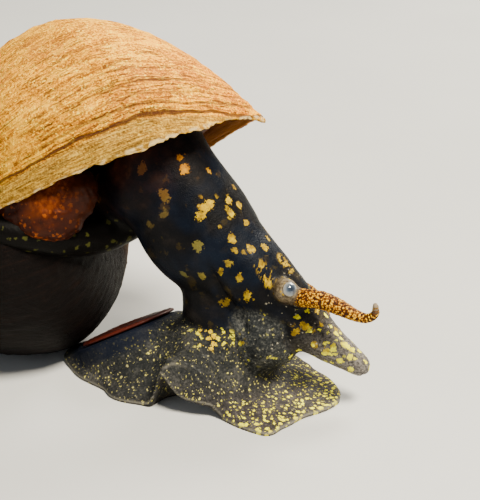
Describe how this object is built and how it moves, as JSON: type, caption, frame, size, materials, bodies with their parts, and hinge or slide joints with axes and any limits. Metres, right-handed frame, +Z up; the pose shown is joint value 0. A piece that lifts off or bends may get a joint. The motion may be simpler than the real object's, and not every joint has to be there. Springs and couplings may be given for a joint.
{
  "type": "river snail",
  "caption": "Still, life-size freshwater river snail on its foot, dark speckled body and head stretched out of a brown coiled shell.",
  "frame": {"origin": "centre of the model's footprint box on the floor plane", "axes": "+X the way the animal heads, +Y to its left, +Z up; -Z rests on the floor"},
  "size_m": [0.0534, 0.0312, 0.0315],
  "materials": {
    "shell": "worn horny skin over shell",
    "dark_flesh": "wet skin",
    "speckled_flesh": "wet speckled skin",
    "orange_flesh": "wet skin",
    "horn": "horny plate",
    "eye": "clear cornea"
  },
  "bodies": {
    "root": {"shell_body_whorl": "shell", "shell_penultimate_whorl": "shell", "shell_spire": "shell", "mantle": "orange_flesh", "neck_upper": "dark_flesh", "neck_lower": "dark_flesh", "head": "dark_flesh", "snout": "speckled_flesh", "foot_rear": "speckled_flesh", "foot_middle": "speckled_flesh", "foot_front": "speckled_flesh", "operculum": "horn", "eye_bulb_right": "dark_flesh", "eye_bulb_left": "dark_flesh", "eye_right": "eye", "eye_left": "eye", "tentacle_right_base": "orange_flesh", "tentacle_right_middle": "orange_flesh", "tentacle_right_tip": "orange_flesh", "tentacle_left_base": "orange_flesh", "tentacle_left_middle": "orange_flesh", "tentacle_left_tip": "orange_flesh"}
  },
  "joints": []
}
